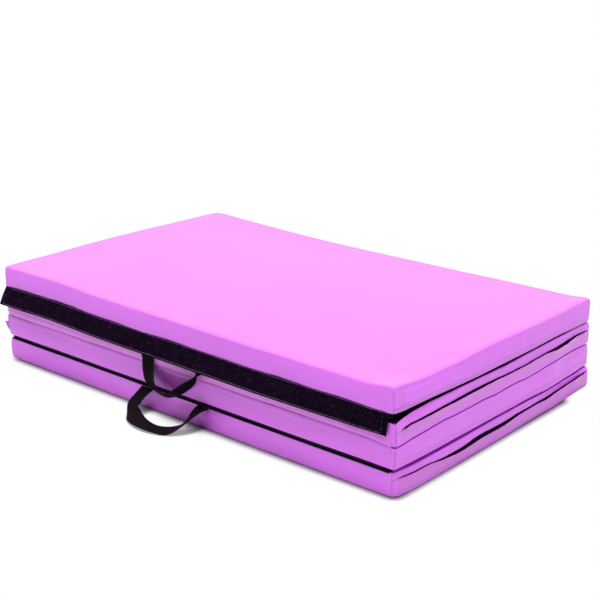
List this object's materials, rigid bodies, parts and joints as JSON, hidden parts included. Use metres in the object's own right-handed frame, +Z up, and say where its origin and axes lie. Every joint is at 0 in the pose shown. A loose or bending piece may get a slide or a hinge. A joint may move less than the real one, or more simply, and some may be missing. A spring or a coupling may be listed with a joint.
{
  "type": "folding gymnastics mat",
  "caption": "Accordion-folding foam exercise mat in zipped vinyl covers, with hook-and-loop end flaps and webbing carry handles, shown folded.",
  "frame": {"origin": "middle of the bottom panel's underside, on the floor", "axes": "+X along the folds and the panels' long sides, towards the zips; +Y from the front, where the handles are, to the back; +Z up"},
  "size_m": [1.2239, 0.8702, 0.2434],
  "materials": {
    "cover_vinyl": "satin PVC-coated fabric",
    "foam": "matt closed-cell foam",
    "black_vinyl": "satin coated fabric",
    "fastener": "hook-and-loop pile",
    "webbing": "woven polypropylene",
    "zip_tape": "woven tape",
    "zip_slider": "painted"
  },
  "bodies": {
    "panel_4": {"panel_4_cover": "cover_vinyl", "panel_4_foam_core": "foam", "panel_4_zip_tape": "zip_tape", "panel_4_zip_guard": "cover_vinyl", "end_binding_4": "black_vinyl", "end_flap_4": "black_vinyl", "hook_strip": "fastener", "hinge_strip_34": "cover_vinyl"},
    "panel_3": {"panel_3_cover": "cover_vinyl", "panel_3_foam_core": "foam", "panel_3_zip_tape": "zip_tape", "panel_3_zip_guard": "cover_vinyl", "hinge_strip_23": "cover_vinyl"},
    "panel_2": {"panel_2_cover": "cover_vinyl", "panel_2_foam_core": "foam", "panel_2_zip_tape": "zip_tape", "panel_2_zip_guard": "cover_vinyl", "hinge_strip_12": "cover_vinyl"},
    "panel_1": {"panel_1_cover": "cover_vinyl", "panel_1_foam_core": "foam", "panel_1_zip_tape": "zip_tape", "panel_1_zip_guard": "cover_vinyl", "end_binding_1": "black_vinyl"},
    "end_flap_1": {"end_flap_1": "black_vinyl", "loop_strip": "fastener"},
    "handle_1": {"handle_1": "webbing"},
    "handle_4": {"handle_4": "webbing"},
    "zip_slider_1": {"panel_1_zip_slider": "zip_slider"},
    "zip_slider_2": {"panel_2_zip_slider": "zip_slider"},
    "zip_slider_3": {"panel_3_zip_slider": "zip_slider"},
    "zip_slider_4": {"panel_4_zip_slider": "zip_slider"}
  },
  "joints": [
    {"name": "fold_34", "type": "hinge", "parent": "panel_4", "child": "panel_3", "pos_m": [0, 0.3845, 0.05385], "axis": [-1, 0, 0], "range_deg": [0, 179.5], "deforming": ["hinge_strip_34"]},
    {"name": "fold_23", "type": "hinge", "parent": "panel_3", "child": "panel_2", "pos_m": [0, -0.384, 0.11486], "axis": [1, 0, 0], "range_deg": [0, 180], "deforming": ["hinge_strip_23", "end_flap_1", "loop_strip", "handle_1", "handle_4"]},
    {"name": "fold_12", "type": "hinge", "parent": "panel_2", "child": "panel_1", "pos_m": [0, 0.38545, 0.16245], "axis": [-1, 0, 0], "range_deg": [0, 178.45], "deforming": ["hinge_strip_12"]},
    {"name": "handle_1_swing", "type": "hinge", "parent": "panel_1", "child": "handle_1", "pos_m": [-0.012, -0.37434, 0.18795], "axis": [-1, 0, 0], "range_deg": [0, 90]},
    {"name": "flap_1_swing", "type": "hinge", "parent": "panel_1", "child": "end_flap_1", "pos_m": [0, -0.3781, 0.19041], "axis": [-1, 0, 0], "range_deg": [0, 81]},
    {"name": "handle_4_swing", "type": "hinge", "parent": "panel_4", "child": "handle_4", "pos_m": [-0.012, -0.3816, 0.05142], "axis": [-1, 0, 0], "range_deg": [0, 25]},
    {"name": "zip_1_slide", "type": "slide", "parent": "panel_1", "child": "zip_slider_1", "axis": [0, -0.9994, 0.0358], "range_m": [0, 0.69]},
    {"name": "zip_2_slide", "type": "slide", "parent": "panel_2", "child": "zip_slider_2", "axis": [0, -1, 0.0087], "range_m": [0, 0.69]},
    {"name": "zip_3_slide", "type": "slide", "parent": "panel_3", "child": "zip_slider_3", "axis": [0, -1, 0.0087], "range_m": [0, 0.69]},
    {"name": "zip_4_slide", "type": "slide", "parent": "panel_4", "child": "zip_slider_4", "axis": [0, -1, 0], "range_m": [0, 0.69]}
  ],
  "couplings": [
    {"joint": "flap_1_swing", "follows": "handle_1_swing", "ratio": 0.9}
  ]
}
